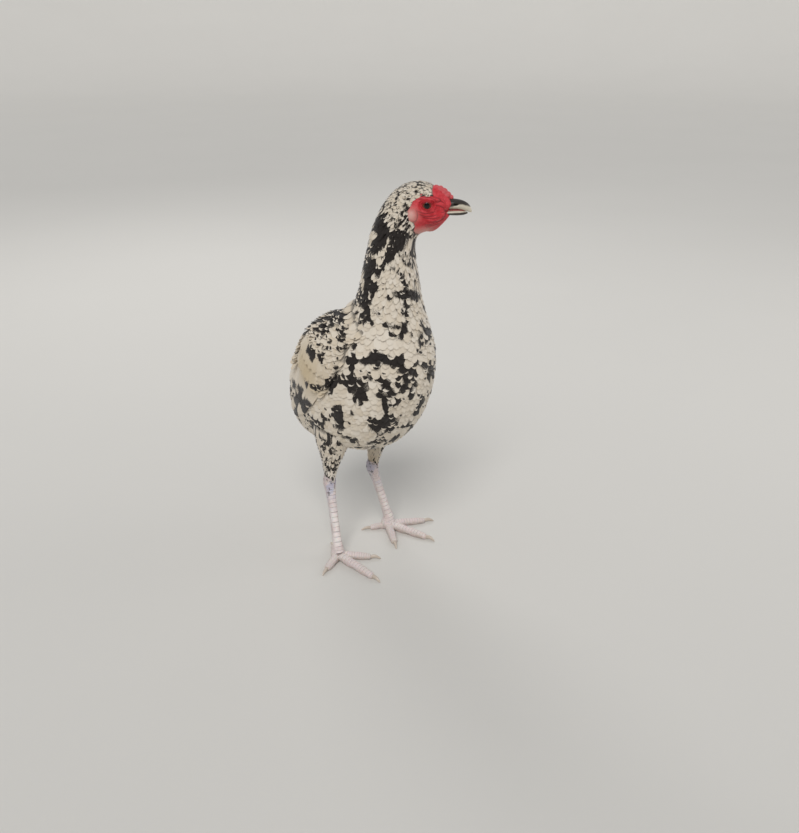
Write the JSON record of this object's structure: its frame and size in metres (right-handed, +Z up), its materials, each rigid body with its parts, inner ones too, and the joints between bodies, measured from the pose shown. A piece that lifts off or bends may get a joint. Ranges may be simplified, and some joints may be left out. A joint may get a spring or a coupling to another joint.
{
  "type": "aseel chicken",
  "caption": "Upright game-type hen standing on both feet, head turned to her left, mottled black and cream plumage, red face and low comb",
  "frame": {"origin": "on the floor, under the middle of the box round the bird", "axes": "+Z up through the head, the body faces -Y, the bird's left side is +X"},
  "size_m": [0.2088, 0.2588, 0.5087],
  "materials": {
    "plumage": "cream feathers mottled with black-brown",
    "skin": "bare red skin, finely pebbled",
    "beak_horn": "dark horn, pale along the edge",
    "leg_scale": "pinkish white scales",
    "claw_horn": "pale horn",
    "eye": "wet gloss"
  },
  "bodies": {
    "root": {"torso": "plumage", "neck_lower": "plumage", "neck_upper": "plumage", "wing_left": "plumage", "wing_right": "plumage", "tail": "plumage", "thigh_left": "plumage", "thigh_right": "plumage", "head": "skin", "comb": "skin", "beak_upper": "beak_horn", "beak_lower": "beak_horn", "shank_left": "leg_scale", "shank_right": "leg_scale", "foot_left": "leg_scale", "foot_right": "leg_scale", "claw_left_inner": "claw_horn", "claw_left_middle": "claw_horn", "claw_left_outer": "claw_horn", "claw_left_back": "claw_horn", "claw_right_inner": "claw_horn", "claw_right_middle": "claw_horn", "claw_right_outer": "claw_horn", "claw_right_back": "claw_horn", "eye_left": "eye", "eye_right": "eye"}
  },
  "joints": []
}
